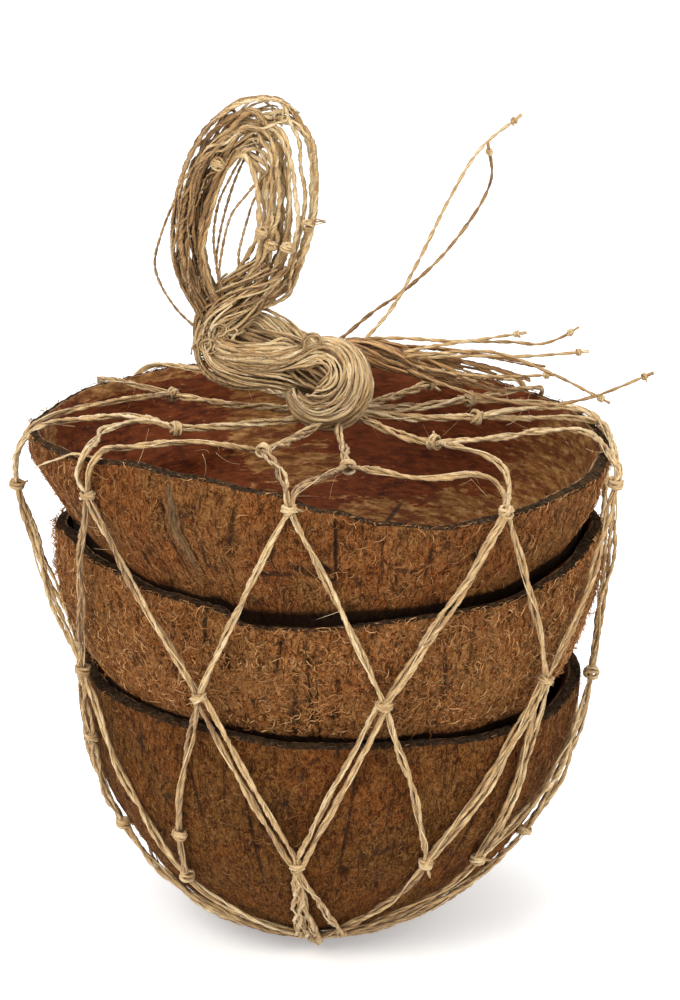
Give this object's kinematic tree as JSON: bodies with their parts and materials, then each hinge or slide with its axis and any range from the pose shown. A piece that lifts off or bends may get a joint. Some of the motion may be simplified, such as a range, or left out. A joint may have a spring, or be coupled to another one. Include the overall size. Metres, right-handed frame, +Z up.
{
  "type": "netted stack of coconut husk half shells",
  "caption": "Nested stack of coconut husk half shells, rough and fibrous outside, tied up in a knotted plant-fibre net with a top knot, an upright carrying hank and loose ends.",
  "frame": {"origin": "on the small flat spot under the lowest shell, below the middle of the stack", "axes": "+Z up through the open mouths of the shells to the hank, front towards -Y, +X to the right of the front view"},
  "size_m": [0.1545, 0.1436, 0.2039],
  "materials": {
    "husk": "dry fibrous coir outside, dull grey-brown saw cut at the rim, satin dark red-brown shell inside",
    "twine": "pale straw plant-fibre twine of two twisted plies, slightly glossy along the fibre"
  },
  "bodies": {
    "root": {"shell_bottom": "husk", "shell_middle": "husk", "shell_top": "husk", "net": "twine", "top_knot": "twine", "carry_loop": "twine", "loose_ends": "twine"}
  },
  "joints": []
}
